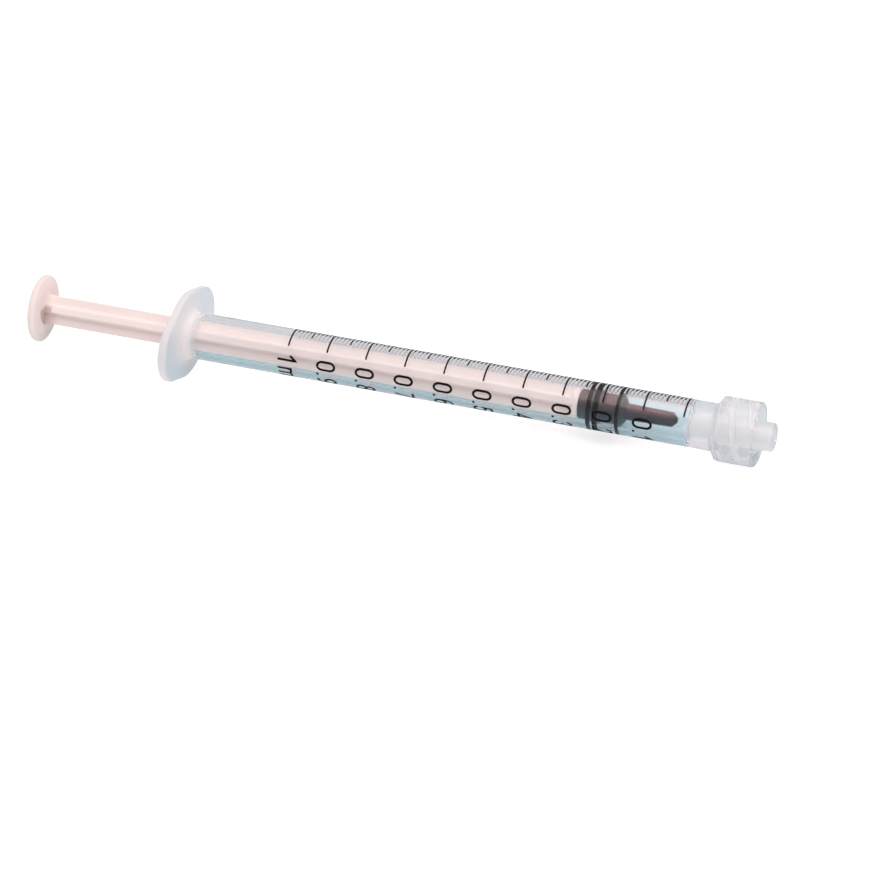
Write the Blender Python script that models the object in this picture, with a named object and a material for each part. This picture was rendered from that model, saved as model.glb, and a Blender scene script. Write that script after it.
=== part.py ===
"""A 1 mL syringe with a luer-lock tip: a barrel, a rubber stopper and a plunger rod.

Metres, +Z up. +X runs along the bore towards the tip. The origin is on the bore axis, halfway
between the tip and the thumb disc, with the plunger where it stands at rest. The barrel is
modelled from the zero line of its scale, the stopper from the edge that is read against that
scale, and the plunger rod from the collar that pushes the stopper.
"""
import math

import bmesh
import bpy
from mathutils import Matrix

MM = 0.001

# Driving dimensions: the dose and its scale.
CAPACITY = 1e-6
SCALE_LENGTH = 57.0 * MM
REST_READING = 0.16

# Barrel: tube, scale end and finger flange.
BORE_RADIUS = math.sqrt(CAPACITY / (math.pi * SCALE_LENGTH))
BARREL_RADIUS = 3.3 * MM
BORE_PAST_ZERO = 0.45 * MM
FLANGE_FRONT = -72.65 * MM
FLANGE_THICKNESS = 1.3 * MM
FLANGE_HALF_LENGTH = 9.35 * MM
FLANGE_HALF_WIDTH = 6.05 * MM
FLANGE_END_RADIUS = 4.5 * MM
FLANGE_SIDE_RADIUS = 8.7 * MM
FLANGE_EDGE = 0.35 * MM
FLANGE_FILLET = 0.8 * MM
MOUTH_FLARE = 0.35 * MM
STOP_RIDGE_STATION = -67.7 * MM
STOP_RIDGE_HEIGHT = 0.06 * MM
STOP_RIDGE_HALF_LENGTH = 0.6 * MM

# Barrel: the luer-lock end. A 6 % cone inside a collar with a two-start thread.
COLLAR_RADIUS = 4.5 * MM
COLLAR_START = 3.8 * MM
COLLAR_CHAMFER = 0.85 * MM
COLLAR_END = 9.95 * MM
COLLAR_EDGE = 0.35 * MM
COLLAR_LIP = 0.12 * MM
THREAD_ROOT_RADIUS = 4.0 * MM
THREAD_CREST_RADIUS = 3.5 * MM
THREAD_LEAD = 5.0 * MM
THREAD_STARTS = 2
THREAD_CREST_WIDTH = 0.3 * MM
THREAD_ROOT_WIDTH = 0.9 * MM
THREAD_PHASE_ANGLE = math.radians(147)
THREAD_PHASE_STATION = 7.0 * MM
THREAD_END_GAP = 0.45 * MM
THREAD_FADE = math.radians(30)
CONE_LENGTH = 7.5 * MM
CONE_END = 12.1 * MM
CONE_TIP_RADIUS = 1.975 * MM
CONE_TAPER = 0.06
CONE_EDGE = 0.3 * MM
CHANNEL_END = 7.9 * MM
CHANNEL_END_RADIUS = 1.05 * MM
CHANNEL_MOUTH_RADIUS = 1.25 * MM
CHANNEL_CONE_LENGTH = 0.55 * MM
LUMEN_RADIUS = 0.75 * MM

# Stopper, from the front edge of its front rib: nose, shoulder and three sealing ribs.
NOSE_LENGTH = 7.7 * MM
NOSE_CHAMFER = 0.5 * MM
NOSE_FACE_RADIUS = 0.5 * MM
NOSE_END_RADIUS = 0.95 * MM
NOSE_ROOT_RADIUS = 1.15 * MM
NOSE_ROOT = 0.66 * MM
SHOULDER_END = 0.14 * MM
STOPPER_RADIUS = 2.05 * MM
STOPPER_REAR = -5.7 * MM
STOPPER_EDGE = 0.2 * MM
BORE_CLEARANCE = 0.03 * MM
RIBS = ((-0.31 * MM, 0.62 * MM), (-3.38 * MM, 0.87 * MM), (-4.38 * MM, 0.70 * MM))

# Plunger rod, from the front of its collar: snap-in head, collar, ribbed shaft and thumb disc.
HEAD_PLAY = 0.05 * MM
NECK_RADIUS = 0.9 * MM
NECK_LENGTH = 0.95 * MM
HEAD_RADIUS = 1.35 * MM
HEAD_BARB = 0.25 * MM
HEAD_SHAFT = 1.6 * MM
HEAD_CONE = 1.4 * MM
HEAD_NOSE_RADIUS = 0.85 * MM
ROD_COLLAR_RADIUS = 2.05 * MM
ROD_COLLAR_LENGTH = 0.9 * MM
ROD_COLLAR_EDGE = 0.15 * MM
ARM_RADIUS = 2.05 * MM
ARM_THICKNESS = 1.05 * MM
ARM_TIP_EDGE = 0.22 * MM
ARM_ROOT_FILLET = 0.18 * MM
SHAFT_LENGTH = 79.9 * MM
NOTCH_LENGTH = 1.35 * MM
NOTCH_CORNER = 0.6 * MM
ROD_TURN = math.radians(-33)
DISC_RADIUS = 4.8 * MM
DISC_THICKNESS = 1.0 * MM
DISC_EDGE = 0.4 * MM

# Roundness of the turned shapes, and the distance under which two points are one.
TURN_STEPS = 48
ARC_STEPS = 4
OVERLAP = 0.4 * MM
MERGE = 1e-7

# Where the pieces stand along X.
STOPPER_STATION = -REST_READING * SCALE_LENGTH
ROD_STATION = STOPPER_STATION + STOPPER_REAR - HEAD_PLAY
THUMB_FACE_STATION = ROD_STATION - SHAFT_LENGTH - DISC_THICKNESS
ZERO_X = -(CONE_END + THUMB_FACE_STATION) / 2


def clear_scene():
    for obj in list(bpy.data.objects):
        bpy.data.objects.remove(obj, do_unlink=True)


def arc(centre_x, centre_r, radius, start, end, steps=ARC_STEPS):
    """Points along an arc in a plane, with its angles in degrees."""
    points = []
    for step in range(steps + 1):
        angle = math.radians(start + (end - start) * step / steps)
        points.append((centre_x + radius * math.cos(angle), centre_r + radius * math.sin(angle)))
    return points


def add_object(name, bm, location=(0.0, 0.0, 0.0)):
    """Make an object of a finished bmesh, with its faces pointing out."""
    bmesh.ops.remove_doubles(bm, verts=bm.verts, dist=MERGE)
    bmesh.ops.recalc_face_normals(bm, faces=bm.faces)
    mesh = bpy.data.meshes.new(name)
    bm.to_mesh(mesh)
    bm.free()
    mesh.shade_smooth()
    mesh.set_sharp_from_angle(angle=math.radians(30))
    obj = bpy.data.objects.new(name, mesh)
    obj.location = location
    bpy.context.scene.collection.objects.link(obj)
    return obj


def turned(name, outline):
    """A solid of revolution about X, from its closed outline of (station, radius) points."""
    bm = bmesh.new()
    verts = [bm.verts.new((x, r, 0.0)) for x, r in outline]
    edges = [bm.edges.new((verts[i - 1], verts[i])) for i in range(len(verts))]
    bmesh.ops.spin(bm, geom=verts + edges, cent=(0, 0, 0), axis=(1, 0, 0),
                   angle=math.tau, steps=TURN_STEPS, use_merge=True)
    bmesh.ops.remove_doubles(bm, verts=bm.verts, dist=MERGE)
    on_axis = [e for e in bm.edges if not e.link_faces]
    bmesh.ops.delete(bm, geom=on_axis, context="EDGES")
    return add_object(name, bm)


def extruded(name, outline, start, length, turn=Matrix.Identity(4)):
    """A prism whose outline of (y, z) points is carried along X, then turned."""
    bm = bmesh.new()
    face = bm.faces.new([bm.verts.new((start, y, z)) for y, z in outline])
    far = bmesh.ops.extrude_face_region(bm, geom=[face])["geom"]
    moved = [v for v in far if isinstance(v, bmesh.types.BMVert)]
    bmesh.ops.translate(bm, verts=moved, vec=(length, 0, 0))
    bmesh.ops.transform(bm, matrix=turn, verts=bm.verts)
    return add_object(name, bm)


def combine(target, tool, operation):
    """Add or cut a tool with a Boolean modifier, and keep the tool as a guide."""
    tool.hide_render = True
    tool.display_type = "WIRE"
    tool.parent = target
    modifier = target.modifiers.new(tool.name, "BOOLEAN")
    modifier.object = tool
    modifier.operation = operation
    modifier.solver = "EXACT"


def plastic(name, color, roughness, alpha=1.0):
    material = bpy.data.materials.new(name)
    material.use_nodes = True
    shader = material.node_tree.nodes["Principled BSDF"]
    shader.inputs["Base Color"].default_value = (*color, 1.0)
    shader.inputs["Roughness"].default_value = roughness
    shader.inputs["Metallic"].default_value = 0.0
    shader.inputs["Alpha"].default_value = alpha
    return material


# ---- Barrel ----


def barrel_outline():
    """The outside of the barrel, turned: tube, collar, hollow of the collar and cone."""
    chamfer_end = COLLAR_START + COLLAR_CHAMFER
    cone_base = CONE_END - CONE_LENGTH
    cone_base_radius = CONE_TIP_RADIUS + CONE_TAPER * CONE_LENGTH / 2
    inside_flange = FLANGE_FRONT - FLANGE_THICKNESS / 2
    fillet_radius = BARREL_RADIUS + FLANGE_FILLET
    outline = [(inside_flange, 0.0), (inside_flange, fillet_radius)]
    outline += arc(FLANGE_FRONT + FLANGE_FILLET, fillet_radius, FLANGE_FILLET, 180, 270)
    outline += [(COLLAR_START, BARREL_RADIUS), (chamfer_end, COLLAR_RADIUS)]
    outline += arc(COLLAR_END - COLLAR_EDGE, COLLAR_RADIUS - COLLAR_EDGE, COLLAR_EDGE, 90, 0)
    outline += [(COLLAR_END, THREAD_ROOT_RADIUS + COLLAR_LIP)]
    outline += [(COLLAR_END - COLLAR_LIP, THREAD_ROOT_RADIUS)]
    outline += [(cone_base, THREAD_ROOT_RADIUS), (cone_base, cone_base_radius)]
    outline += arc(CONE_END - CONE_EDGE, CONE_TIP_RADIUS - CONE_EDGE, CONE_EDGE, 90, 0)
    outline += [(CONE_END, 0.0)]
    return outline


def bore_outline():
    """Everything that is hollow along the axis: mouth, bore, nose channel and lumen."""
    rear = FLANGE_FRONT - FLANGE_THICKNESS
    mouth = BORE_RADIUS + MOUTH_FLARE
    ridge_radius = BORE_RADIUS - STOP_RIDGE_HEIGHT
    ridge_flat = STOP_RIDGE_HALF_LENGTH / 3
    channel_start = BORE_PAST_ZERO + CHANNEL_CONE_LENGTH
    return [
        (rear - OVERLAP, 0.0),
        (rear - OVERLAP, mouth + OVERLAP),
        (rear + MOUTH_FLARE, BORE_RADIUS),
        (STOP_RIDGE_STATION - STOP_RIDGE_HALF_LENGTH, BORE_RADIUS),
        (STOP_RIDGE_STATION - ridge_flat, ridge_radius),
        (STOP_RIDGE_STATION + ridge_flat, ridge_radius),
        (STOP_RIDGE_STATION + STOP_RIDGE_HALF_LENGTH, BORE_RADIUS),
        (BORE_PAST_ZERO, BORE_RADIUS),
        (channel_start, CHANNEL_MOUTH_RADIUS),
        (CHANNEL_END, CHANNEL_END_RADIUS),
        (CHANNEL_END + OVERLAP, LUMEN_RADIUS),
        (CONE_END + OVERLAP, LUMEN_RADIUS),
        (CONE_END + OVERLAP, 0.0),
    ]


def flange_outline():
    """An oval plate seen along the bore: round ends, rounder sides and straight edges between."""
    end_centre = FLANGE_HALF_LENGTH - FLANGE_END_RADIUS
    side_centre = FLANGE_HALF_WIDTH - FLANGE_SIDE_RADIUS
    apart = math.hypot(end_centre, side_centre)
    meeting = math.atan2(-side_centre, end_centre)
    meeting += math.acos((FLANGE_SIDE_RADIUS - FLANGE_END_RADIUS) / apart)
    meeting = math.degrees(meeting)
    quarter = arc(end_centre, 0.0, FLANGE_END_RADIUS, 0, meeting, ARC_STEPS + 4)
    quarter += arc(0.0, side_centre, FLANGE_SIDE_RADIUS, meeting, 90, ARC_STEPS)
    left = [(-y, z) for y, z in reversed(quarter[:-1])]
    upper = quarter + left
    lower = [(y, -z) for y, z in reversed(upper[1:-1])]
    return upper + lower


def make_flange():
    flange = extruded("flange_plate", flange_outline(), FLANGE_FRONT - FLANGE_THICKNESS,
                      FLANGE_THICKNESS)
    bevel = flange.modifiers.new("rounded_edge", "BEVEL")
    bevel.width = FLANGE_EDGE
    bevel.segments = 3
    bevel.limit_method = "ANGLE"
    bevel.angle_limit = math.radians(60)
    return flange


def thread_point(angle, start_angle, offset, radius):
    """A point on one thread ridge, offset along X from the ridge's middle."""
    turned_by = angle - start_angle
    station = THREAD_PHASE_STATION + THREAD_LEAD * turned_by / math.tau + offset
    return (station, radius * math.cos(angle), radius * math.sin(angle))


def make_thread(number):
    """One ridge of the collar's thread. Both its ends fade into the wall."""
    start_angle = THREAD_PHASE_ANGLE + math.tau * number / THREAD_STARTS
    first_station = CONE_END - CONE_LENGTH + THREAD_END_GAP
    last_station = COLLAR_END - THREAD_END_GAP
    first = start_angle + (first_station - THREAD_PHASE_STATION) / THREAD_LEAD * math.tau
    last = start_angle + (last_station - THREAD_PHASE_STATION) / THREAD_LEAD * math.tau
    steps = round((last - first) / math.tau * TURN_STEPS)
    rooted = THREAD_ROOT_RADIUS + COLLAR_LIP
    bm = bmesh.new()
    rings = []
    for step in range(steps + 1):
        angle = first + (last - first) * step / steps
        fade = min(1.0, (angle - first) / THREAD_FADE, (last - angle) / THREAD_FADE)
        crest = THREAD_ROOT_RADIUS - fade * (THREAD_ROOT_RADIUS - THREAD_CREST_RADIUS)
        section = [(-THREAD_ROOT_WIDTH / 2, rooted), (-THREAD_CREST_WIDTH / 2, crest),
                   (THREAD_CREST_WIDTH / 2, crest), (THREAD_ROOT_WIDTH / 2, rooted)]
        rings.append([bm.verts.new(thread_point(angle, start_angle, *p)) for p in section])
    for ring, following in zip(rings, rings[1:]):
        for i in range(len(ring)):
            bm.faces.new((ring[i - 1], ring[i], following[i], following[i - 1]))
    bm.faces.new(rings[0])
    bm.faces.new(rings[-1])
    return add_object(f"thread_ridge_{number + 1}", bm)


def make_barrel():
    barrel = turned("barrel", barrel_outline())
    combine(barrel, make_flange(), "UNION")
    combine(barrel, turned("bore_cutter", bore_outline()), "DIFFERENCE")
    for number in range(THREAD_STARTS):
        combine(barrel, make_thread(number), "UNION")
    barrel.location = (ZERO_X, 0.0, 0.0)
    barrel.data.materials.append(plastic("clear_polypropylene", (0.82, 0.88, 0.92), 0.18, 0.35))
    return barrel


# ---- Stopper ----


def rib_outline(centre, width):
    """The rounded hump of one sealing rib, from its front edge to its rear edge."""
    top = BORE_RADIUS - BORE_CLEARANCE
    edge = 0.35 * width
    return [
        (centre + width / 2, STOPPER_RADIUS),
        (centre + edge, (STOPPER_RADIUS + top) / 2),
        (centre + width / 4, top),
        (centre - width / 4, top),
        (centre - edge, (STOPPER_RADIUS + top) / 2),
        (centre - width / 2, STOPPER_RADIUS),
    ]


def head_outline(play):
    """The rod's snap-in head from its nose back to the neck, grown by the play around it.

    Stations count from the rod's collar. The same outline, with play, is the hollow that the
    stopper clips over the head.
    """
    barb_end = NECK_LENGTH + HEAD_BARB
    cone_start = barb_end + HEAD_SHAFT
    nose = cone_start + HEAD_CONE
    return [
        (nose + play, 0.0),
        (nose + play, HEAD_NOSE_RADIUS + play),
        (cone_start + play, HEAD_RADIUS + play),
        (barb_end - play, HEAD_RADIUS + play),
        (NECK_LENGTH - play, NECK_RADIUS + play),
    ]


def stopper_outline():
    chamfer_start = NOSE_LENGTH - NOSE_CHAMFER
    outline = [
        (NOSE_LENGTH, 0.0),
        (NOSE_LENGTH, NOSE_FACE_RADIUS),
        (NOSE_LENGTH - NOSE_CHAMFER / 3, (NOSE_FACE_RADIUS + 2 * NOSE_END_RADIUS) / 3),
        (chamfer_start, NOSE_END_RADIUS),
        (NOSE_ROOT, NOSE_ROOT_RADIUS),
        (SHOULDER_END, STOPPER_RADIUS),
    ]
    for centre, width in RIBS:
        outline += rib_outline(centre, width)
    outline += [(STOPPER_REAR + STOPPER_EDGE, STOPPER_RADIUS)]
    outline += [(STOPPER_REAR, STOPPER_RADIUS - STOPPER_EDGE)]
    collar = STOPPER_REAR - HEAD_PLAY
    hollow = [(collar + x, r) for x, r in reversed(head_outline(HEAD_PLAY))]
    outline += [(STOPPER_REAR, NECK_RADIUS + HEAD_PLAY)] + hollow
    return outline


def make_stopper(carriage):
    stopper = turned("stopper", stopper_outline())
    stopper.parent = carriage
    stopper.data.materials.append(plastic("grey_rubber", (0.09, 0.075, 0.08), 0.45))
    return stopper


# ---- Plunger rod ----


def rod_front_outline():
    """The turned front of the rod: snap-in head, neck and the collar behind the stopper."""
    outline = head_outline(0.0)
    outline += [(0.0, NECK_RADIUS), (0.0, ROD_COLLAR_RADIUS - ROD_COLLAR_EDGE)]
    outline += [(-ROD_COLLAR_EDGE, ROD_COLLAR_RADIUS)]
    outline += [(ROD_COLLAR_EDGE - ROD_COLLAR_LENGTH, ROD_COLLAR_RADIUS)]
    outline += [(-ROD_COLLAR_LENGTH, ROD_COLLAR_RADIUS - ROD_COLLAR_EDGE)]
    outline += [(-ROD_COLLAR_LENGTH, 0.0)]
    return outline


def cross_outline():
    """The shaft's section: four arms with eased tips and filleted roots."""
    half = ARM_THICKNESS / 2
    tip = ARM_RADIUS - ARM_TIP_EDGE
    root = half + ARM_ROOT_FILLET
    arm = arc(tip, -(half - ARM_TIP_EDGE), ARM_TIP_EDGE, -90, 0, 2)
    arm += arc(tip, half - ARM_TIP_EDGE, ARM_TIP_EDGE, 0, 90, 2)
    arm += arc(root, root, ARM_ROOT_FILLET, 270, 180, 2)
    outline = []
    for quarter in range(4):
        c = round(math.cos(quarter * math.pi / 2))
        s = round(math.sin(quarter * math.pi / 2))
        outline += [(c * y - s * z, s * y + c * z) for y, z in arm]
    return outline


def disc_outline():
    face = -SHAFT_LENGTH
    rear = face - DISC_THICKNESS
    outline = [(face, 0.0)]
    outline += arc(face - DISC_EDGE, DISC_RADIUS - DISC_EDGE, DISC_EDGE, 0, 90)
    outline += arc(rear + DISC_EDGE, DISC_RADIUS - DISC_EDGE, DISC_EDGE, 90, 180)
    outline += [(rear, 0.0)]
    return outline


def make_notch(side):
    """The gap in one arm next to the thumb disc. The arm behind it starts with a round corner."""
    face = -SHAFT_LENGTH
    start = face + NOTCH_LENGTH
    outside = ARM_RADIUS + OVERLAP
    bottom = ARM_THICKNESS / 2 + ARM_ROOT_FILLET
    outline = [(face, outside), (face, bottom), (start, bottom)]
    outline += arc(start + NOTCH_CORNER, ARM_RADIUS - NOTCH_CORNER, NOTCH_CORNER, 180, 90)
    outline += [(start + NOTCH_CORNER, outside)]
    width = ARM_THICKNESS + 2 * OVERLAP
    bm = bmesh.new()
    flat = bm.faces.new([bm.verts.new((x, side * r, -width / 2)) for x, r in outline])
    far = bmesh.ops.extrude_face_region(bm, geom=[flat])["geom"]
    moved = [v for v in far if isinstance(v, bmesh.types.BMVert)]
    bmesh.ops.translate(bm, verts=moved, vec=(0, 0, width))
    return add_object("notch_near" if side < 0 else "notch_far", bm)


def make_plunger_rod(carriage):
    """The rod turns in the stopper, about X."""
    shaft_start = -SHAFT_LENGTH - DISC_THICKNESS / 2
    shaft_end = -ROD_COLLAR_LENGTH / 2
    rod = extruded("plunger_rod", cross_outline(), shaft_start, shaft_end - shaft_start)
    combine(rod, make_notch(-1), "DIFFERENCE")
    combine(rod, make_notch(1), "DIFFERENCE")
    combine(rod, turned("rod_front", rod_front_outline()), "UNION")
    combine(rod, turned("thumb_disc", disc_outline()), "UNION")
    rod.parent = carriage
    rod.location = (ROD_STATION - STOPPER_STATION, 0.0, 0.0)
    rod.rotation_euler = (ROD_TURN, 0.0, 0.0)
    rod.data.materials.append(plastic("milky_polypropylene", (0.9, 0.85, 0.84), 0.3))
    return rod


def make_carriage():
    """The empty that slides along the bore with the stopper and the rod."""
    carriage = bpy.data.objects.new("plunger_carriage", None)
    carriage.location = (ZERO_X + STOPPER_STATION, 0.0, 0.0)
    bpy.context.scene.collection.objects.link(carriage)
    return carriage


def main():
    clear_scene()
    make_barrel()
    carriage = make_carriage()
    make_stopper(carriage)
    make_plunger_rod(carriage)


main()
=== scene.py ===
"""The looks of a 1 mL luer-lock syringe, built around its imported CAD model.

Metres, +Z up, with +X along the bore towards the tip. Stations along the syringe are measured
from the zero line of the scale. Angles around the barrel start at -Y, the side that faces the
camera, and grow upwards, so 90 degrees is the top.
"""
import math

import bmesh
import bpy
from mathutils import Matrix, Vector


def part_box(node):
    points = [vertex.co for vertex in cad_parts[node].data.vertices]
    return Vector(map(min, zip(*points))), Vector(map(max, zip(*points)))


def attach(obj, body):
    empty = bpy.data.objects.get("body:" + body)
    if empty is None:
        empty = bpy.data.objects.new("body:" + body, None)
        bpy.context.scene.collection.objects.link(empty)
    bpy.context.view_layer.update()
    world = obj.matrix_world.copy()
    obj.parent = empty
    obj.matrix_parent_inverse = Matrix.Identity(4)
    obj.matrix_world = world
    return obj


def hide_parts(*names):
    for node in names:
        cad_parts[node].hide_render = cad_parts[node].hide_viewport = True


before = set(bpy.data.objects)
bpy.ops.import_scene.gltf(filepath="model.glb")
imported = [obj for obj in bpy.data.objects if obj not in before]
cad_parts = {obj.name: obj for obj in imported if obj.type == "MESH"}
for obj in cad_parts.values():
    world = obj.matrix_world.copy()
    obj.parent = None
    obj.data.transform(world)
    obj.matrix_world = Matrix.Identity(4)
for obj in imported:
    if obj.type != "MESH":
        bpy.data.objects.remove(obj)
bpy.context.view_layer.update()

MM = 0.001
BARREL_LOW, BARREL_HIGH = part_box("barrel")
STOPPER_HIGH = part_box("stopper")[1]
ROD_LOW, ROD_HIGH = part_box("plunger_rod")

# Sizes that the CAD model is built to, in the same units.
TIP_REACH = 12.1 * MM
SCALE_LENGTH = 57.0 * MM
BORE_RADIUS = math.sqrt(1e-6 / (math.pi * SCALE_LENGTH))
BARREL_RADIUS = 3.3 * MM
BORE_PAST_ZERO = 0.45 * MM
FLANGE_THICKNESS = 1.3 * MM
FLANGE_END_RADIUS = 4.5 * MM
FLANGE_SIDE_RADIUS = 8.7 * MM
FLANGE_EDGE = 0.4 * MM
FLANGE_FILLET = 0.8 * MM
COLLAR_RADIUS = 4.5 * MM
COLLAR_START = 3.8 * MM
COLLAR_CHAMFER = 0.85 * MM
COLLAR_END = 9.95 * MM
THREAD_ROOT_RADIUS = 4.0 * MM
THREAD_CREST_RADIUS = 3.5 * MM
THREAD_LEAD = 5.0 * MM
THREAD_STARTS = 2
THREAD_ANGLE = math.radians(147)
THREAD_STATION = 7.0 * MM
CONE_LENGTH = 7.5 * MM
CONE_TIP_RADIUS = 1.975 * MM
CONE_TAPER = 0.06

# Places that come from the frame.
ZERO_X = BARREL_HIGH.x - TIP_REACH
FLANGE_REAR = BARREL_LOW.x - ZERO_X
FLANGE_FRONT = FLANGE_REAR + FLANGE_THICKNESS
FLANGE_HALF_LENGTH = BARREL_HIGH.y
FLANGE_HALF_WIDTH = BARREL_HIGH.z
DISC_RADIUS = 4.8 * MM
DISC_THICKNESS = 1.0 * MM

# How finely round shapes are cut, and how far a cutting tool reaches past what it cuts.
TURN_STEPS = 144
SHARP_ANGLE = 35.0
EMBED = 0.4 * MM


# ---- Shapes ----


def arc(centre_x, centre_y, radius, start, end, steps):
    """Points along an arc, with its angles in degrees."""
    points = []
    for step in range(steps + 1):
        angle = math.radians(start + (end - start) * step / steps)
        points.append((centre_x + radius * math.cos(angle), centre_y + radius * math.sin(angle)))
    return points


def rounded(corners):
    """A chain of (x, y, fillet radius) corners, with an arc in place of each filleted corner."""
    arc_step = math.radians(12)
    points = []
    for i, (x, y, fillet) in enumerate(corners):
        if fillet == 0 or i in (0, len(corners) - 1):
            points.append((x, y))
            continue
        here = Vector((x, y))
        back = (Vector(corners[i - 1][:2]) - here).normalized()
        ahead = (Vector(corners[i + 1][:2]) - here).normalized()
        half = math.acos(max(-1.0, min(1.0, back.dot(ahead)))) / 2
        centre = here + (back + ahead).normalized() * fillet / math.sin(half)
        first = here + back * fillet / math.tan(half) - centre
        last = here + ahead * fillet / math.tan(half) - centre
        sweep = first.angle_signed(last)
        steps = max(2, round(abs(sweep) / arc_step))
        for step in range(steps + 1):
            turned_by = Matrix.Rotation(-sweep * step / steps, 2)
            points.append(tuple(centre + turned_by @ first))
    return points


def new_object(name, bm, x=0.0):
    """A smooth-shaded object made from the bmesh, moved along X."""
    bmesh.ops.recalc_face_normals(bm, faces=bm.faces)
    mesh = bpy.data.meshes.new(name)
    bm.to_mesh(mesh)
    bm.free()
    mesh.transform(Matrix.Translation((x, 0, 0)))
    mesh.shade_smooth()
    mesh.set_sharp_from_angle(angle=math.radians(SHARP_ANGLE))
    obj = bpy.data.objects.new(name, mesh)
    bpy.context.scene.collection.objects.link(obj)
    return obj


def turned(name, outline, x=0.0, steps=TURN_STEPS):
    """A solid of revolution about X. Its outline of (x, radius) starts and ends on the axis."""
    bm = bmesh.new()
    rings = []
    for px, radius in outline:
        if radius < 1e-9:
            rings.append([bm.verts.new((px, 0, 0))] * steps)
            continue
        angles = [math.tau * i / steps for i in range(steps)]
        rings.append([bm.verts.new((px, radius * math.cos(a), radius * math.sin(a)))
                      for a in angles])
    for ring, following in zip(rings, rings[1:]):
        for i in range(steps):
            j = (i + 1) % steps
            corners = []
            for vert in (ring[i], ring[j], following[j], following[i]):
                if vert not in corners:
                    corners.append(vert)
            bm.faces.new(corners)
    return new_object(name, bm, x)


def lofted(name, sections):
    """A closed skin through sections of equal length, with flat ends."""
    bm = bmesh.new()
    rings = [[bm.verts.new(p) for p in section] for section in sections]
    count = len(rings[0])
    for ring, following in zip(rings, rings[1:]):
        for i in range(count):
            j = (i + 1) % count
            bm.faces.new((ring[i], ring[j], following[j], following[i]))
    bm.faces.new(list(reversed(rings[0])))
    bm.faces.new(rings[-1])
    return new_object(name, bm)


def carved(obj, steps):
    """Adds or cuts each tool in turn, and leaves one finished mesh and no tools."""
    for tool, operation in steps:
        modifier = obj.modifiers.new("carve", "BOOLEAN")
        modifier.object = tool
        modifier.operation = operation
        modifier.solver = "EXACT"
    graph = bpy.context.evaluated_depsgraph_get()
    mesh = bpy.data.meshes.new_from_object(obj.evaluated_get(graph), depsgraph=graph)
    obj.modifiers.clear()
    obj.data = mesh
    for tool, _ in steps:
        bpy.data.objects.remove(tool, do_unlink=True)
    mesh.shade_smooth()
    mesh.set_sharp_from_angle(angle=math.radians(SHARP_ANGLE))
    weighted = obj.modifiers.new("even_normals", "WEIGHTED_NORMAL")
    weighted.keep_sharp = True
    weighted.weight = 80
    return obj


# ---- Barrel ----


def flange_outline(inset):
    """The oval plate's edge, seen along the bore and moved inwards by the inset, as (y, z)."""
    end_centre = FLANGE_HALF_LENGTH - FLANGE_END_RADIUS
    side_centre = FLANGE_HALF_WIDTH - FLANGE_SIDE_RADIUS
    apart = math.hypot(end_centre, side_centre)
    meeting = math.atan2(-side_centre, end_centre)
    meeting += math.acos((FLANGE_SIDE_RADIUS - FLANGE_END_RADIUS) / apart)
    meeting = math.degrees(meeting)
    quarter = arc(end_centre, 0, FLANGE_END_RADIUS - inset, 0, meeting, 28)
    quarter += arc(0, side_centre, FLANGE_SIDE_RADIUS - inset, meeting, 90, 16)
    upper = quarter + [(-y, z) for y, z in reversed(quarter[:-1])]
    return upper + [(y, -z) for y, z in reversed(upper[1:-1])]


def flange_plate():
    """A plate with a rounded rim."""
    edge_steps = 8
    sections = []
    for end, direction in ((FLANGE_REAR, 1), (FLANGE_FRONT, -1)):
        for step in range(edge_steps + 1):
            angle = math.pi / 2 * step / edge_steps
            inset = FLANGE_EDGE * (1 - math.sin(angle))
            x = end + direction * FLANGE_EDGE * (1 - math.cos(angle))
            sections.append((x, inset))
    sections.sort()
    return lofted("flange_plate", [[(x, y, z) for y, z in flange_outline(inset)]
                                   for x, inset in sections])


def barrel_outline():
    """The outside of the barrel without its flange, from inside the flange to the cone's end."""
    inside_flange = (FLANGE_REAR + FLANGE_FRONT) / 2
    fillet_radius = BARREL_RADIUS + FLANGE_FILLET
    fillet_centre = FLANGE_FRONT + FLANGE_FILLET - 0.02 * MM
    chamfer_end = COLLAR_START + COLLAR_CHAMFER
    cone_base = TIP_REACH - CONE_LENGTH
    cone_base_radius = CONE_TIP_RADIUS + CONE_TAPER * CONE_LENGTH / 2
    outline = [(inside_flange, 0), (inside_flange, fillet_radius)]
    outline += arc(fillet_centre, fillet_radius, FLANGE_FILLET, 180, 270, 8)
    outline += rounded([
        (0, BARREL_RADIUS, 0),
        (COLLAR_START, BARREL_RADIUS, 0.3 * MM),
        (chamfer_end, COLLAR_RADIUS, 0.3 * MM),
        (COLLAR_END, COLLAR_RADIUS, 0.32 * MM),
        (COLLAR_END, THREAD_ROOT_RADIUS, 0.12 * MM),
        (cone_base, THREAD_ROOT_RADIUS, 0.25 * MM),
        (cone_base, cone_base_radius, 0.2 * MM),
        (TIP_REACH, CONE_TIP_RADIUS, 0.3 * MM),
        (TIP_REACH, 0, 0),
    ])
    return outline


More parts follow.
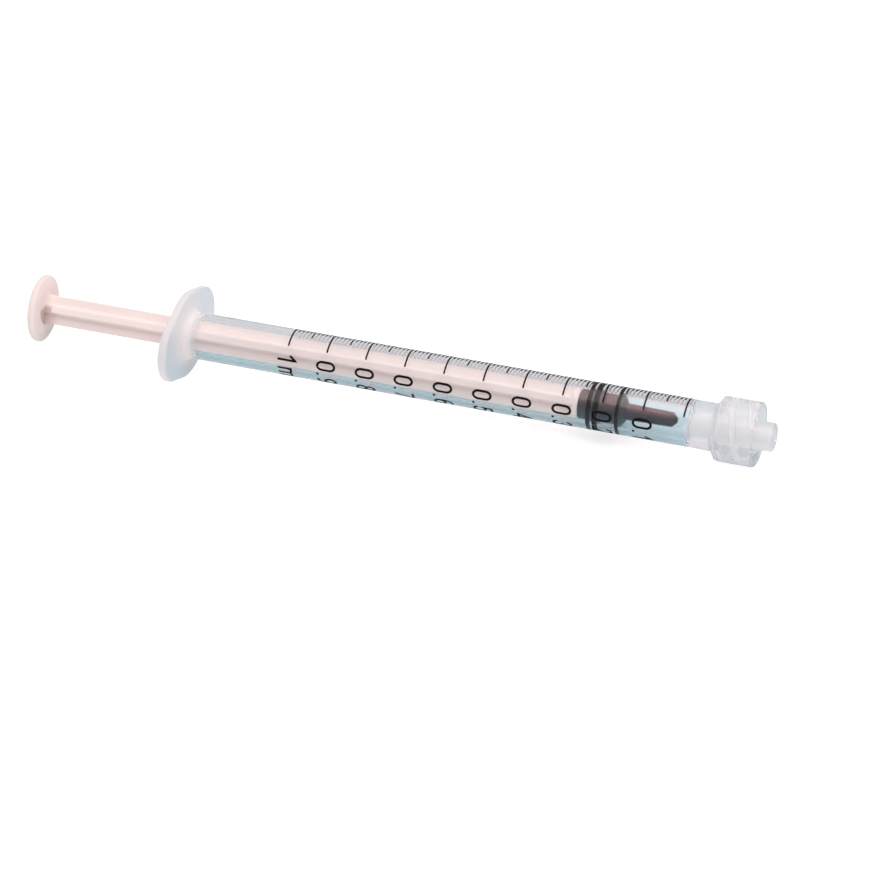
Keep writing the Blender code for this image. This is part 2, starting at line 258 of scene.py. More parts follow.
def bore_outline():
    """The hollow: a flared mouth, the stop ridge, the bore, the nose's channel and the lumen."""
    mouth = 0.35 * MM
    ridge = -67.7 * MM
    ridge_half = 0.9 * MM
    ridge_fillet = 0.8 * MM
    ridge_radius = BORE_RADIUS - 0.03 * MM
    channel_start = BORE_PAST_ZERO + 0.55 * MM
    channel_end = 7.9 * MM
    lumen_start = channel_end + 0.4 * MM
    lumen = 0.75 * MM
    return rounded([
        (FLANGE_REAR - EMBED, 0, 0),
        (FLANGE_REAR - EMBED, BORE_RADIUS + mouth + EMBED, 0),
        (FLANGE_REAR + mouth, BORE_RADIUS, 0.3 * MM),
        (ridge - ridge_half, BORE_RADIUS, ridge_fillet),
        (ridge, ridge_radius, ridge_fillet),
        (ridge + ridge_half, BORE_RADIUS, ridge_fillet),
        (BORE_PAST_ZERO, BORE_RADIUS, 0.12 * MM),
        (channel_start, 1.25 * MM, 0.15 * MM),
        (channel_end, 1.05 * MM, 0.2 * MM),
        (lumen_start, lumen, 0.2 * MM),
        (TIP_REACH, lumen, 0),
        (TIP_REACH + EMBED, lumen + EMBED / 2, 0),
        (TIP_REACH + EMBED, 0, 0),
    ])


def thread_ridge(number):
    """One ridge of the two-start thread. Its ends fade into the collar's wall."""
    margin = 0.45 * MM
    fade_angle = 0.5
    height = THREAD_ROOT_RADIUS - THREAD_CREST_RADIUS
    rooted = THREAD_ROOT_RADIUS + 0.1 * MM
    shoulder = 0.04 * MM
    start = THREAD_ANGLE + math.tau * number / THREAD_STARTS
    per_radian = THREAD_LEAD / math.tau
    first = start + (TIP_REACH - CONE_LENGTH + margin - THREAD_STATION) / per_radian
    last = start + (COLLAR_END - margin - THREAD_STATION) / per_radian
    steps = round((last - first) / math.tau * TURN_STEPS)
    sections = []
    for step in range(steps + 1):
        angle = first + (last - first) * step / steps
        fade = min(1.0, (angle - first) / fade_angle, (last - angle) / fade_angle)
        crest = THREAD_ROOT_RADIUS - height * math.sin(fade * math.pi / 2)
        x = THREAD_STATION + per_radian * (angle - start)
        ridge = [
            (x - 0.48 * MM, rooted),
            (x - 0.22 * MM, crest + shoulder),
            (x - 0.15 * MM, crest),
            (x + 0.15 * MM, crest),
            (x + 0.22 * MM, crest + shoulder),
            (x + 0.48 * MM, rooted),
        ]
        sections.append([(px, r * math.cos(angle), r * math.sin(angle)) for px, r in ridge])
    return lofted(f"thread_{number}", sections)


def make_barrel():
    """The clear moulding: nozzle, collar and tube, with the flange and the thread added."""
    barrel = turned("barrel_moulding", barrel_outline())
    steps = [(flange_plate(), "UNION"), (turned("bore", bore_outline()), "DIFFERENCE")]
    steps += [(thread_ridge(number), "UNION") for number in range(THREAD_STARTS)]
    carved(barrel, steps)
    barrel.data.transform(Matrix.Translation((ZERO_X, 0, 0)))
    barrel.data.materials.append(clear_plastic())
    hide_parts("barrel")
    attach(barrel, "barrel")


# ---- Printed scale ----

INK_OUTSIDE = BARREL_RADIUS + 0.012 * MM
INK_INSIDE = BARREL_RADIUS - 0.006 * MM
PRINT_SKEW = math.radians(3.5)

# The lines all start at one angle at the back. Each kind has its own end angle and width.
TICK_START = math.radians(153)
TICKS = {
    "tenth": (math.radians(45.5), 0.24 * MM),
    "half": (math.radians(79), 0.2 * MM),
    "hundredth": (math.radians(97), 0.18 * MM),
}

DIGIT_HEIGHT = 2.85 * MM
DIGIT_WIDTH = 1.5 * MM
WIDTH_RATIOS = {"m": 1.45, "L": 0.9, "1": 0.9}
STROKE = 0.34 * MM
DOT_RADIUS = 0.19 * MM
DOT_PLACE = 0.2 * MM
DOT_WIDTH = 0.45 * MM
SPACE_WIDTH = 0.225 * MM
LABEL_START = math.radians(24.6)
LABEL_SHIFT = 0.1 * MM
LABEL_GAP = 0.42 * MM


def on_barrel(station, angle, radius):
    """A point on the barrel, where the angle starts at the side that faces -Y.

    The print is a little askew: it sits lower towards the zero line.
    """
    angle -= PRINT_SKEW * (1 + station / SCALE_LENGTH)
    return (ZERO_X + station, -radius * math.cos(angle), radius * math.sin(angle))


def tick_kind(hundredth):
    if hundredth % 10 == 0:
        return "tenth"
    if hundredth % 5 == 0:
        return "half"
    return "hundredth"


def add_ring_faces(bm, ring, following):
    for i in range(len(ring)):
        bm.faces.new((ring[i - 1], ring[i], following[i], following[i - 1]))


def make_ticks():
    """A hundred and one lines, 0.01 mL apart, that start together at the back of the barrel."""
    longest_step = math.radians(2.5)
    bm = bmesh.new()
    for hundredth in range(101):
        station = -SCALE_LENGTH * hundredth / 100
        end, width = TICKS[tick_kind(hundredth)]
        half = width / 2
        corners = ((-half, INK_INSIDE), (half, INK_INSIDE),
                   (half, INK_OUTSIDE), (-half, INK_OUTSIDE))
        steps = math.ceil((TICK_START - end) / longest_step)
        rings = []
        for step in range(steps + 1):
            angle = TICK_START + (end - TICK_START) * step / steps
            rings.append([bm.verts.new(on_barrel(station + side, angle, radius))
                          for side, radius in corners])
        for ring, following in zip(rings, rings[1:]):
            add_ring_faces(bm, ring, following)
        bm.faces.new(rings[0])
        bm.faces.new(rings[-1])
    finish_ink(new_object("scale_lines", bm))


def bow(centre_x, centre_y, radius_x, radius_y, start, end):
    """Points along part of an ellipse, in the digit's own unit square."""
    steps = max(4, round(abs(end - start) / 12))
    points = []
    for step in range(steps + 1):
        angle = math.radians(start + (end - start) * step / steps)
        points.append((centre_x + radius_x * math.cos(angle),
                       centre_y + radius_y * math.sin(angle)))
    return points


def glyph_strokes(character):
    """Each character's pen strokes in a unit square, x to the right and y up.

    A stroke whose last point is its first is a closed loop.
    """
    loop = bow(0.5, 0.7, 0.5, 0.3, 0, 180) + bow(0.5, 0.3, 0.5, 0.3, 180, 360)
    strokes = {
        "0": [loop + loop[:1]],
        "1": [[(0.05, 0.7), (0.62, 1.0), (0.62, 0.0)]],
        "2": [bow(0.5, 0.72, 0.46, 0.28, 165, -25) + [(0.03, 0.0), (1.0, 0.0)]],
        "3": [bow(0.46, 0.74, 0.42, 0.26, 160, -75) + bow(0.46, 0.25, 0.5, 0.25, 80, -160)],
        "4": [[(0.72, 0.0), (0.72, 1.0), (0.0, 0.28), (1.0, 0.28)]],
        "5": [[(0.92, 1.0), (0.16, 1.0), (0.09, 0.5)] + bow(0.47, 0.32, 0.5, 0.32, 130, -150)],
        "6": [bow(0.62, 0.62, 0.6, 0.38, 80, 180) + bow(0.5, 0.3, 0.48, 0.3, 180, 540)],
        "7": [[(0.0, 1.0), (1.0, 1.0), (0.36, 0.0)]],
        "8": [bow(0.5, 0.76, 0.42, 0.24, -90, 270), bow(0.5, 0.26, 0.5, 0.26, 90, 450)],
        "9": [bow(0.38, 0.38, 0.6, 0.38, -100, 0) + bow(0.5, 0.7, 0.48, 0.3, 0, 360)],
        "m": [[(0.0, 0.0), (0.0, 0.7)],
              [(0.0, 0.5)] + bow(0.25, 0.5, 0.25, 0.2, 160, 0) + [(0.5, 0.0)],
              [(0.5, 0.5)] + bow(0.75, 0.5, 0.25, 0.2, 160, 0) + [(1.0, 0.0)]],
        "L": [[(0.0, 1.0), (0.0, 0.0), (0.8, 0.0)]],
    }
    return strokes[character]


def spaced(points, longest):
    """The same chain with long straight stretches split, so that it can bend round the barrel."""
    result = [points[0]]
    for a, b in zip(points, points[1:]):
        pieces = max(1, math.ceil(math.dist(a, b) / longest))
        for piece in range(1, pieces + 1):
            t = piece / pieces
            result.append((a[0] + (b[0] - a[0]) * t, a[1] + (b[1] - a[1]) * t))
    return result


def pen_stroke(bm, points, place):
    """A flat ribbon of ink along a chain of points, mitred at its corners.

    place(x, y, radius) puts a point of the label on the barrel.
    """
    closed = math.dist(points[0], points[-1]) < 1e-9
    if closed:
        points = points[:-1]
    count = len(points)
    rings = []
    for i, point in enumerate(points):
        before = points[i - 1] if closed or i > 0 else None
        after = points[(i + 1) % count] if closed or i < count - 1 else None
        here = Vector(point)
        into = (here - Vector(before)).normalized() if before else None
        out = (Vector(after) - here).normalized() if after else None
        into = into or out
        out = out or into
        along = (into + out).normalized()
        side = Vector((-along.y, along.x)) * STROKE / 2 / max(0.5, along.dot(into))
        if before is None:
            here = here - out * STROKE / 2
        if after is None:
            here = here + into * STROKE / 2
        left, right = here + side, here - side
        rings.append([bm.verts.new(place(*left, INK_INSIDE)),
                      bm.verts.new(place(*right, INK_INSIDE)),
                      bm.verts.new(place(*right, INK_OUTSIDE)),
                      bm.verts.new(place(*left, INK_OUTSIDE))])
    pairs = list(zip(rings, rings[1:]))
    if closed:
        pairs.append((rings[-1], rings[0]))
    for ring, following in pairs:
        add_ring_faces(bm, ring, following)
    if not closed:
        bm.faces.new(rings[0])
        bm.faces.new(rings[-1])


def ink_dot(bm, centre, place):
    """The decimal point."""
    steps = 20
    edge = []
    for step in range(steps):
        angle = math.tau * step / steps
        edge.append((centre[0] + DOT_RADIUS * math.cos(angle),
                     centre[1] + DOT_RADIUS * math.sin(angle)))
    inner = [bm.verts.new(place(x, y, INK_INSIDE)) for x, y in edge]
    outer = [bm.verts.new(place(x, y, INK_OUTSIDE)) for x, y in edge]
    bm.faces.new(inner)
    bm.faces.new(list(reversed(outer)))
    add_ring_faces(bm, inner, outer)


def write_label(bm, text, station):
    """Writes text down round the barrel, with the tops of its characters towards the tip."""
    def place(x, y, radius):
        angle = LABEL_START - x / BARREL_RADIUS
        return on_barrel(station - DIGIT_HEIGHT / 2 + LABEL_SHIFT + y, angle, radius)

    pen = 0.0
    for character in text:
        if character == ".":
            ink_dot(bm, (pen + DOT_PLACE, DOT_PLACE), place)
            pen += DOT_WIDTH + LABEL_GAP
            continue
        if character == " ":
            pen += SPACE_WIDTH
            continue
        width = DIGIT_WIDTH * WIDTH_RATIOS.get(character, 1.0)
        for chain in glyph_strokes(character):
            scaled = [(pen + STROKE / 2 + x * (width - STROKE),
                       STROKE / 2 + y * (DIGIT_HEIGHT - STROKE)) for x, y in chain]
            pen_stroke(bm, spaced(scaled, 0.15 * MM), place)
        pen += width + LABEL_GAP


def make_numbers():
    """The labels 0.1 to 0.9 and 1 mL, each beside its own line."""
    bm = bmesh.new()
    for tenth in range(1, 11):
        text = "1 mL" if tenth == 10 else f"0.{tenth}"
        write_label(bm, text, -SCALE_LENGTH * tenth / 10)
    finish_ink(new_object("scale_numbers", bm))


def finish_ink(obj):
    """Gives a print piece its ink, and lets it ride the barrel."""
    obj.data.materials.append(black_ink())
    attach(obj, "barrel")


# ---- Stopper ----


NOSE_REACH = 7.7 * MM
STOPPER_BODY_RADIUS = 2.05 * MM
STOPPER_REAR = -6.0 * MM

# Each rib's middle and width, from the front one back.
RIBS = ((-0.31 * MM, 0.62 * MM), (-3.38 * MM, 0.87 * MM), (-4.38 * MM, 0.7 * MM))


def stopper_outline():
    """From the nose back over the ribs to the hollow that holds the rod's head.

    Stations count from the front edge of the front rib. The ribs are squeezed flat against the
    bore, so they stand a hair proud of it.
    """
    body = STOPPER_BODY_RADIUS
    sealed = BORE_RADIUS + 0.012 * MM
    small = 0.05 * MM
    corners = [
        (NOSE_REACH, 0, 0),
        (NOSE_REACH, 0.36 * MM, small),
        (7.05 * MM, 1.02 * MM, 0.06 * MM),
        (0.66 * MM, 1.15 * MM, 0.2 * MM),
        (0.14 * MM, body, 0.12 * MM),
    ]
    for centre, width in RIBS:
        foot = width * 0.6
        top = width * 0.42
        corners += [
            (centre + foot, body, small),
            (centre + top, sealed, small),
            (centre - top, sealed, small),
            (centre - foot, body, small),
        ]
    corners += [
        (STOPPER_REAR, body, 0.25 * MM),
        (STOPPER_REAR, 0.95 * MM, small),
        (-4.85 * MM, 0.95 * MM, small),
        (-4.6 * MM, 1.4 * MM, 0.1 * MM),
        (-2.9 * MM, 1.4 * MM, 0.1 * MM),
        (-1.5 * MM, 0.9 * MM, 0.1 * MM),
        (-1.5 * MM, 0, 0),
    ]
    return rounded(corners)


def make_stopper():
    """The rubber moulding, placed so that its nose ends where the CAD model's does."""
    front_rib = STOPPER_HIGH.x - NOSE_REACH
    stopper = turned("stopper_rubber", stopper_outline(), front_rib)
    stopper.data.materials.append(grey_rubber())
    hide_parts("stopper")
    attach(stopper, "stopper")


# ---- Plunger rod ----

ROD_TURN = math.radians(-33)
ARM_RADIUS = 2.05 * MM
ARM_THICKNESS = 1.05 * MM
HEAD_REACH = 4.15 * MM
PLATE_FRONT = -0.3 * MM
PLATE_REAR = -1.2 * MM
NOTCH_LENGTH = 1.35 * MM
NOTCH_FLOOR = 0.18 * MM
ARM_START_RADIUS = 0.6 * MM


def cross_section():
    """The four-armed section of the shaft, as (y, z)."""
    draft = 0.05 * MM
    tip = ARM_THICKNESS / 2 - draft
    root = ARM_THICKNESS / 2 + 0.02 * MM
    arm = ((ARM_RADIUS, -tip, 0.2 * MM), (ARM_RADIUS, tip, 0.2 * MM), (root, root, 0.4 * MM))
    corners = []
    for quarter in range(4):
        c = round(math.cos(quarter * math.pi / 2))
        s = round(math.sin(quarter * math.pi / 2))
        for y, z, fillet in arm:
            corners.append((c * y - s * z, s * y + c * z, fillet))
    points = rounded([corners[-1]] + corners + [corners[0]])
    return points[1:-1]


def rod_front_outline():
    """The snap-in head, its neck and the plate behind the stopper."""
    return rounded([
        (HEAD_REACH, 0, 0),
        (HEAD_REACH, 0.85 * MM, 0.2 * MM),
        (2.8 * MM, 1.35 * MM, 0.2 * MM),
        (1.2 * MM, 1.35 * MM, 0.1 * MM),
        (0.95 * MM, 0.9 * MM, 0.05 * MM),
        (PLATE_FRONT, 0.9 * MM, 0.05 * MM),
        (PLATE_FRONT, ARM_RADIUS, 0.2 * MM),
        (PLATE_REAR, ARM_RADIUS, 0.2 * MM),
        (PLATE_REAR, 0, 0),
    ])


def disc_outline(face):
    """The thumb disc, with the shallow round gate mark on its outside."""
    rear = face - DISC_THICKNESS
    edge = 0.42 * MM
    mark_depth = 0.12 * MM
    return rounded([
        (face, 0, 0),
        (face, DISC_RADIUS, edge),
        (rear, DISC_RADIUS, edge),
        (rear, 1.0 * MM, 0.05 * MM),
        (rear + mark_depth, 0.9 * MM, 0.05 * MM),
        (rear + mark_depth, 0, 0),
    ])


def arm_notch(side, face):
    """The gap in one arm next to the thumb disc."""
    start = face + NOTCH_LENGTH
    bottom = ARM_THICKNESS / 2 + NOTCH_FLOOR
    outside = ARM_RADIUS + EMBED
    inner_corner = [(face, bottom, 0), (start, bottom, 0.2 * MM), (start, ARM_RADIUS, 0)]
    shoulder_x = start + ARM_START_RADIUS
    outline = [(face, outside), (face, bottom)]
    outline += rounded(inner_corner)[1:-1]
    outline += arc(shoulder_x, ARM_RADIUS - ARM_START_RADIUS, ARM_START_RADIUS, 180, 90, 10)
    outline += [(shoulder_x, outside)]
    half = ARM_THICKNESS / 2 + EMBED
    return lofted("notch", [[(x, side * r, z) for x, r in outline] for z in (-half, half)])


def make_rod():
    """The milky moulding: four-armed shaft, thumb disc, plate and head."""
    rear = ROD_LOW.x + DISC_THICKNESS
    front = ROD_HIGH.x - HEAD_REACH
    section = cross_section()
    inside_plate = front + PLATE_FRONT - 0.15 * MM
    ends = (rear - DISC_THICKNESS / 2, inside_plate)
    rod = lofted("rod_moulding", [[(x, y, z) for y, z in section] for x in ends])
    steps = [(arm_notch(side, rear), "DIFFERENCE") for side in (-1, 1)]
    steps.append((turned("front", rod_front_outline(), front), "UNION"))
    steps.append((turned("disc", disc_outline(rear)), "UNION"))
    carved(rod, steps)
    rod.data.transform(Matrix.Rotation(ROD_TURN, 4, "X"))
    rod.data.materials.append(milky_plastic())
    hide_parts("plunger_rod")
    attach(rod, "plunger_rod")


# ---- Materials ----


class Nodes:
    """A short way to write a node tree: add a node, set its inputs and link sockets."""

    def __init__(self, owner):
        owner.use_nodes = True
        self.owner = owner
        self.tree = owner.node_tree
        self.tree.nodes.clear()

    def add(self, kind, settings=None, **inputs):
        node = self.tree.nodes.new(kind)
        for key, value in (settings or {}).items():
            setattr(node, key, value)
        for key, value in inputs.items():
            self.feed(node.inputs[key.replace("_", " ")], value)
        return node

    def feed(self, socket, value):
        if isinstance(value, bpy.types.NodeSocket):
            self.tree.links.new(value, socket)
        else:
            socket.default_value = value

    def maths(self, operation, a, b=0.0):
        node = self.tree.nodes.new("ShaderNodeMath")
        node.operation = operation
        self.feed(node.inputs[0], a)
        self.feed(node.inputs[1], b)
        return node.outputs[0]

    def mix(self, factor, first, second):
        """Blends two shaders."""
        node = self.tree.nodes.new("ShaderNodeMixShader")
        self.feed(node.inputs[0], factor)
        self.feed(node.inputs[1], first)
        self.feed(node.inputs[2], second)
        return node.outputs[0]

    def ramp(self, value, *stops):
        """A colour ramp from stops of (position, colour)."""
        node = self.tree.nodes.new("ShaderNodeValToRGB")
        node.color_ramp.elements[0].position = stops[0][0]
        node.color_ramp.elements[0].color = (*stops[0][1], 1)
        node.color_ramp.elements[1].position = stops[-1][0]
        node.color_ramp.elements[1].color = (*stops[-1][1], 1)
        for position, colour in stops[1:-1]:
            node.color_ramp.elements.new(position).color = (*colour, 1)
        self.feed(node.inputs[0], value)
        return node.outputs[0]

    def span(self, value, low, high, to_low=0.0, to_high=1.0):
        """Maps a value smoothly from one range to another, and from 0 to 1 if no other is given."""
        node = self.add("ShaderNodeMapRange", {"interpolation_type": "SMOOTHSTEP"},
                        Value=value, From_Min=low, From_Max=high, To_Min=to_low, To_Max=to_high)
        return node.outputs[0]

    def position(self):
        """The point on the piece. It moves with the piece."""
        return self.add("ShaderNodeTexCoord").outputs["Object"]

    def geometry(self, kind):
        """The point or the normal in the room."""
        return self.add("ShaderNodeNewGeometry").outputs[kind]

    def parts(self, vector):
        return self.add("ShaderNodeSeparateXYZ", Vector=vector).outputs

    def radius(self):
        """The distance from the bore's axis."""
        parts = self.parts(self.position())
        across = self.maths("POWER", parts[1], 2.0)
        upwards = self.maths("POWER", parts[2], 2.0)
        return self.maths("SQRT", self.maths("ADD", across, upwards))

    def product(self, first, *others):
        for other in others:
            first = self.maths("MULTIPLY", first, other)
        return first

    def largest(self, first, *others):
        for other in others:
            first = self.maths("MAXIMUM", first, other)
        return first

    def tint(self, factor, first, second, blend="MIX"):
        """Blends two colours."""
        node = self.add("ShaderNodeMix", {"data_type": "RGBA", "blend_type": blend})
        self.feed(node.inputs[0], factor)
        self.feed(node.inputs[6], first)
        self.feed(node.inputs[7], second)
        return node.outputs[2]

    def vector(self, operation, first, second=(0, 0, 0)):
        node = self.add("ShaderNodeVectorMath", {"operation": operation})
        self.feed(node.inputs[0], first)
        self.feed(node.inputs[1], second)
        return node.outputs["Value" if operation == "DOT_PRODUCT" else "Vector"]

    def noise(self, scale, detail=3.0, stretch=(1, 1, 1)):
        mapping = self.add("ShaderNodeMapping", Vector=self.position(), Scale=stretch)
        return self.add("ShaderNodeTexNoise", Vector=mapping.outputs[0], Scale=scale,
                        Detail=detail).outputs[0]

    def bump(self, height, strength, distance):
        return self.add("ShaderNodeBump", Height=height, Strength=strength,
                        Distance=distance).outputs[0]

    def finish(self, surface, output="ShaderNodeOutputMaterial"):
        self.add(output, Surface=surface)
        return self.owner


WHITE = (1, 1, 1)

# How milky each zone of the barrel's surface is. The collar takes away some of the nozzle's.
MILKINESS = {
    "nozzle": 0.34,
    "collar": -0.13,
    "flange": 0.24,
    "flange core": 0.16,
    "rim": 0.42,
    "thread": 0.4,
}
CLOUD_MILKINESS = 0.014


def barrel_zones(n):
    """Masks, from 0 to 1, of the parts of the barrel that look milky."""
    x = n.parts(n.position())[0]
    radius = n.radius()
    flange_end = ZERO_X + FLANGE_FRONT
    root = THREAD_ROOT_RADIUS
    crest = THREAD_CREST_RADIUS
    nozzle = n.span(x, ZERO_X + 0.3 * MM, ZERO_X + 1.3 * MM)
    flange = n.span(x, flange_end + 2.2 * MM, flange_end + 0.4 * MM)
    along_bore = n.maths("ABSOLUTE", n.parts(n.geometry("Normal"))[0])
    inside_collar = n.span(x, ZERO_X + 4.8 * MM, ZERO_X + 5.0 * MM)
    ridge_foot = n.span(radius, root - 0.1 * MM, root - 0.3 * MM)
    ridge_top = n.span(radius, crest - 0.3 * MM, crest - 0.1 * MM)
    return {
        "nozzle": nozzle,
        "collar": n.product(nozzle, n.span(radius, root - 0.3 * MM, root - 0.1 * MM)),
        "flange": flange,
        "flange core": n.product(flange, n.span(radius, 6.0 * MM, 4.2 * MM)),
        "rim": n.product(flange, n.span(along_bore, 0.95, 0.4)),
        "thread": n.product(inside_collar, ridge_foot, ridge_top),
    }


def clear_plastic():
    """Polypropylene: clear where the wall is thin, milky in the nozzle, flange and thread."""
    n = Nodes(bpy.data.materials.new("clear_polypropylene"))
    zones = barrel_zones(n)
    milk = n.product(n.noise(260.0, 4.0, (0.35, 1, 1)), CLOUD_MILKINESS)
    for zone, amount in MILKINESS.items():
        milk = n.maths("ADD", milk, n.product(zones[zone], amount))
    relief = n.bump(n.noise(900.0, 3.0, (0.15, 1, 1)), 0.07, 0.01 * MM)
    roughness = n.span(n.noise(500.0, 3.0, (0.1, 1, 1)), 0.3, 0.7, 0.07, 0.12)
    roughness = n.maths("ADD", roughness, n.product(zones["flange"], 0.28))
    glass = n.add("ShaderNodeBsdfPrincipled", Base_Color=(0.98, 0.985, 0.99, 1),
                  Roughness=roughness, IOR=1.49, Transmission_Weight=1.0, Normal=relief)
    film = n.add("ShaderNodeBsdfTransparent", Color=(0.96, 0.965, 0.97, 1))
    path = n.add("ShaderNodeLightPath").outputs
    soft = n.largest(path["Is Shadow Ray"], path["Is Diffuse Ray"])
    clear = n.mix(soft, glass.outputs[0], film.outputs[0])
    warmth = n.largest(zones["rim"], zones["flange core"], n.product(zones["nozzle"], 0.8))
    tone = n.ramp(warmth, (0.0, (0.84, 0.9, 0.96)), (1.0, (1.0, 0.955, 0.945)))
    diffuse = n.add("ShaderNodeBsdfDiffuse", Color=tone, Normal=relief)
    through = n.add("ShaderNodeBsdfTranslucent", Color=tone, Normal=relief)
    milky = n.mix(0.35, diffuse.outputs[0], through.outputs[0])
    return n.finish(n.mix(milk, clear, milky))


def crevice_shade(n):
    """Darker where little sky is seen, so mostly under the arms, and a little where all is."""
    skyward = n.vector("NORMALIZE", n.vector("ADD", n.geometry("Normal"), (0, 0, 1.2)))
    nearby = n.add("ShaderNodeAmbientOcclusion", {"samples": 8, "only_local": True},
                   Distance=1.8 * MM, Normal=skyward)
    return n.ramp(nearby.outputs["AO"], (0.12, (0.48, 0.42, 0.41)), (0.55, WHITE),
                  (0.85, WHITE), (1.0, (0.935, 0.925, 0.92)))


def painted_shade_below(n):
    """Painted shade: a cool grey cast that grows towards the floor."""
    height = n.parts(n.geometry("Position"))[2]
    low = n.span(height, 0.0, -DISC_RADIUS)
    return n.ramp(low, (0.0, WHITE), (1.0, (0.86, 0.92, 0.94)))


def disc_corner(n):
    """The shade under the arms in the corner next to the thumb disc."""
    rear = ROD_LOW.x + DISC_THICKNESS
    along = n.parts(n.position())[0]
    height = n.parts(n.geometry("Position"))[2]
    corner = n.product(n.span(along, rear + 2.6 * MM, rear + 0.2 * MM),
                       n.span(along, rear - 0.6 * MM, rear - 0.4 * MM),
                       n.span(height, 1.0 * MM, 0.3 * MM),
                       n.span(n.radius(), ARM_RADIUS + 0.15 * MM, ARM_RADIUS))
    return n.ramp(corner, (0.0, WHITE), (1.0, (0.66, 0.61, 0.6)))


def milky_plastic():
    """The rod's polypropylene: white with a warm cast, with painted shade where little sky reaches
    it, towards the floor and by the thumb disc.
    """
    n = Nodes(bpy.data.materials.new("milky_polypropylene"))
    cloud = n.noise(350.0, 4.0, (0.2, 1, 1))
    colour = n.ramp(cloud, (0.3, (0.94, 0.82, 0.785)), (0.7, (0.965, 0.85, 0.815)))
    # Painted shade: in the creases under the arms, towards the floor and in the corner next to the
    # thumb disc.
    for shade in (crevice_shade(n), painted_shade_below(n), disc_corner(n)):
        colour = n.tint(1.0, colour, shade, "MULTIPLY")
    relief = n.bump(n.noise(1200.0, 4.0, (0.12, 1, 1)), 0.35, 0.03 * MM)
    roughness = n.span(n.noise(600.0, 2.0, (0.2, 1, 1)), 0.3, 0.7, 0.55, 0.7)
    body = n.add("ShaderNodeBsdfPrincipled", Base_Color=colour,
                 Roughness=roughness, IOR=1.49, Specular_IOR_Level=0.15,
                 Subsurface_Weight=0.15, Subsurface_Scale=0.4 * MM, Normal=relief)
    body.inputs["Subsurface Radius"].default_value = (1.0, 0.8, 0.75)
    return n.finish(body.outputs[0])


def grey_rubber():
    """Rubber, brown on top with a bluish painted shade below, and painted darker where the ribs
    press the bore.
    """
    # Painted shade and painted floor reflection for the faces turned down, and a painted dark for
    # the pressed ribs.
    lower = (0.022, 0.027, 0.036, 1)
    painted_contact_dark = (0.018, 0.011, 0.011, 1)
    dry_gloss = 0.2
    n = Nodes(bpy.data.materials.new("grey_rubber"))
    # The ribs pressed on the bore: painted darker, since the contact takes the bore's reflection
    # away, and less glossy.
    rib_contact = n.span(n.radius(), BORE_RADIUS - 0.06 * MM, BORE_RADIUS)
    upper = n.ramp(n.noise(700.0, 5.0), (0.3, (0.12, 0.042, 0.046)), (0.7, (0.145, 0.056, 0.06)))
    # Painted light: brown on faces turned up, the bluish painted shade on faces turned down.
    upwards = n.span(n.parts(n.geometry("Normal"))[2], 0.3, 1.0)
    colour = n.tint(rib_contact, n.tint(upwards, lower, upper), painted_contact_dark)
    relief = n.bump(n.noise(2600.0, 5.0), 0.3, 0.02 * MM)
    roughness = n.span(n.noise(900.0), 0.3, 0.7, 0.32, 0.45)
    gloss = n.maths("SUBTRACT", dry_gloss, n.product(rib_contact, dry_gloss))
    body = n.add("ShaderNodeBsdfPrincipled", Base_Color=colour, Roughness=roughness,
                 Normal=relief, Specular_IOR_Level=gloss)
    return n.finish(body.outputs[0])


def black_ink():
    """Printing ink, a little thinner in places. Its underside shows paler through the wall."""
    found = bpy.data.materials.get("scale_ink")
    if found:
        return found
    pale = (0.7, 0.66, 0.67, 1)
    n = Nodes(bpy.data.materials.new("scale_ink"))
    thin = n.noise(3500.0, 4.0)
    black = n.ramp(thin, (0.35, (0.004, 0.003, 0.004)), (0.75, (0.016, 0.012, 0.014)))
    outwards = n.vector("MULTIPLY", n.position(), (0, 1, 1))
    facing = n.vector("DOT_PRODUCT", outwards, n.geometry("True Normal"))
    underside = n.maths("LESS_THAN", facing, -0.5 * BARREL_RADIUS)
    roughness = n.span(n.noise(2500.0), 0.3, 0.7, 0.5, 0.7)
    body = n.add("ShaderNodeBsdfPrincipled", Base_Color=n.tint(underside, black, pale),
                 Roughness=roughness, Specular_IOR_Level=0.05)
    return n.finish(body.outputs[0])


# ---- Studio ----


# The camera's axes, and its place as seen from the zero line.
CAMERA_RIGHT = (0.9448, 0.3278, 0.0)
CAMERA_BACK = (0.2792, -0.8048, 0.5239)
CAMERA_OFFSET = (0.1148, -0.4353, 0.2739)
CAMERA_LENS = 160.3

FLOOR_SIZE = 4.0
FLOOR_GLOW = 0.42
KEY_PLACE = (0.2, -0.1, 0.87)
KEY_SIZE = 1.5
KEY_POWER = 7.7
KEY_COLOUR = (1.0, 0.94, 0.92)

# How strong the room looks to each kind of ray. Mirrored in a surface, it has the least.
ROOM_COLOUR = (0.97, 0.95, 0.98, 1)
ROOM_MIRRORED = 0.35
ROOM_STRENGTHS = {"Is Diffuse Ray": 0.56, "Is Transmission Ray": 0.71, "Is Camera Ray": 0.97}


def table_top():
    """White to the camera, with a little glow. Through the plastic or mirrored, it's pale blue."""
    n = Nodes(bpy.data.materials.new("pale_table"))
    white = n.ramp(n.noise(30.0, 4.0), (0.3, (0.92, 0.92, 0.92)), (0.7, (0.93, 0.93, 0.93)))
    away = n.span(n.parts(n.position())[1], -15 * MM, 60 * MM)
    blue = n.ramp(away, (0.0, (0.47, 0.69, 0.75)), (0.4, (0.64, 0.73, 0.77)),
                  (1.0, (0.76, 0.72, 0.75)))
    path = n.add("ShaderNodeLightPath").outputs
    indirect = n.largest(path["Is Transmission Ray"], path["Is Glossy Ray"])
    body = n.add("ShaderNodeBsdfDiffuse", Color=n.tint(indirect, white, blue))
    glow = n.add("ShaderNodeEmission", Color=(*WHITE, 1),
                 Strength=n.product(path["Is Camera Ray"], FLOOR_GLOW))
    both = n.add("ShaderNodeAddShader")
    n.feed(both.inputs[0], body.outputs[0])
    n.feed(both.inputs[1], glow.outputs[0])
    return n.finish(both.outputs[0])


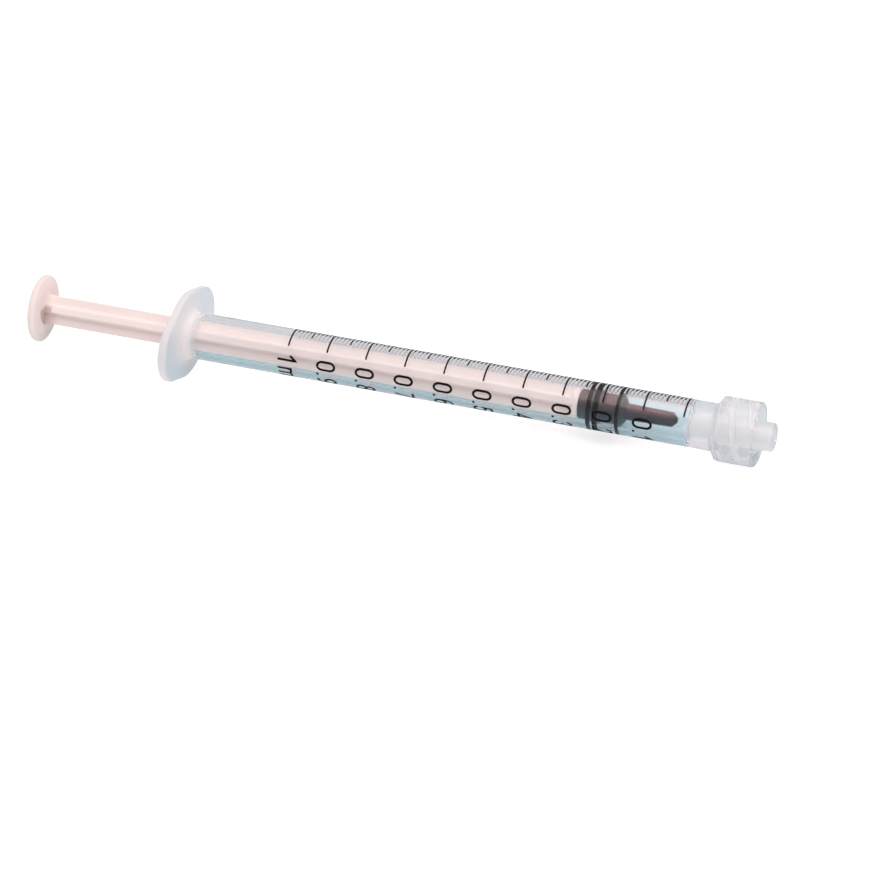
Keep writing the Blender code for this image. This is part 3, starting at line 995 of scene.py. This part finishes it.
def make_floor():
    """A pale table top, tilted a little so that both the flange and the collar rest on it."""
    low = -FLANGE_HALF_WIDTH
    collar_x = ZERO_X + COLLAR_END - 0.5 * MM
    flange_x = ZERO_X + (FLANGE_FRONT + FLANGE_REAR) / 2
    tilt = math.atan2(-COLLAR_RADIUS - low, collar_x - flange_x)
    bm = bmesh.new()
    bmesh.ops.create_grid(bm, x_segments=1, y_segments=1, size=FLOOR_SIZE)
    floor = new_object("floor", bm)
    floor.location = (flange_x, 0, low)
    floor.rotation_euler = (0, -tilt, 0)
    floor.data.materials.append(table_top())


def make_key_light():
    """One large soft disk above the camera's side, turned towards the middle of the syringe."""
    light = bpy.data.lights.new("key", "AREA")
    light.shape = "DISK"
    light.size = KEY_SIZE
    light.energy = KEY_POWER
    light.color = KEY_COLOUR
    obj = bpy.data.objects.new("key", light)
    obj.location = KEY_PLACE
    obj.rotation_euler = (-Vector(KEY_PLACE)).to_track_quat("-Z", "Y").to_euler()
    bpy.context.scene.collection.objects.link(obj)


def make_world():
    """A soft white room. It's dimmer in reflections and as a light than when it's looked at."""
    n = Nodes(bpy.data.worlds.new("studio"))
    path = n.add("ShaderNodeLightPath").outputs
    seen = [n.product(path[kind], strength) for kind, strength in ROOM_STRENGTHS.items()]
    sky = n.add("ShaderNodeBackground", Color=ROOM_COLOUR, Strength=n.largest(*seen, ROOM_MIRRORED))
    bpy.context.scene.world = n.finish(sky.outputs[0], "ShaderNodeOutputWorld")


def make_camera():
    """A long lens above the side that faces -Y, placed and turned as in the photo."""
    camera = bpy.data.cameras.new("camera")
    camera.lens = CAMERA_LENS
    camera.clip_start = 0.01
    obj = bpy.data.objects.new("camera", camera)
    right = Vector(CAMERA_RIGHT).normalized()
    back = Vector(CAMERA_BACK).normalized()
    up = back.cross(right)
    turn = Matrix((right, up, back)).transposed().to_4x4()
    place = Vector((ZERO_X, 0, 0)) + Vector(CAMERA_OFFSET)
    obj.matrix_world = Matrix.Translation(place) @ turn
    bpy.context.scene.collection.objects.link(obj)
    bpy.context.scene.camera = obj


def main():
    make_barrel()
    make_ticks()
    make_numbers()
    make_stopper()
    make_rod()
    make_floor()
    make_key_light()
    make_world()
    make_camera()
    bpy.context.scene.view_settings.view_transform = "Standard"


main()
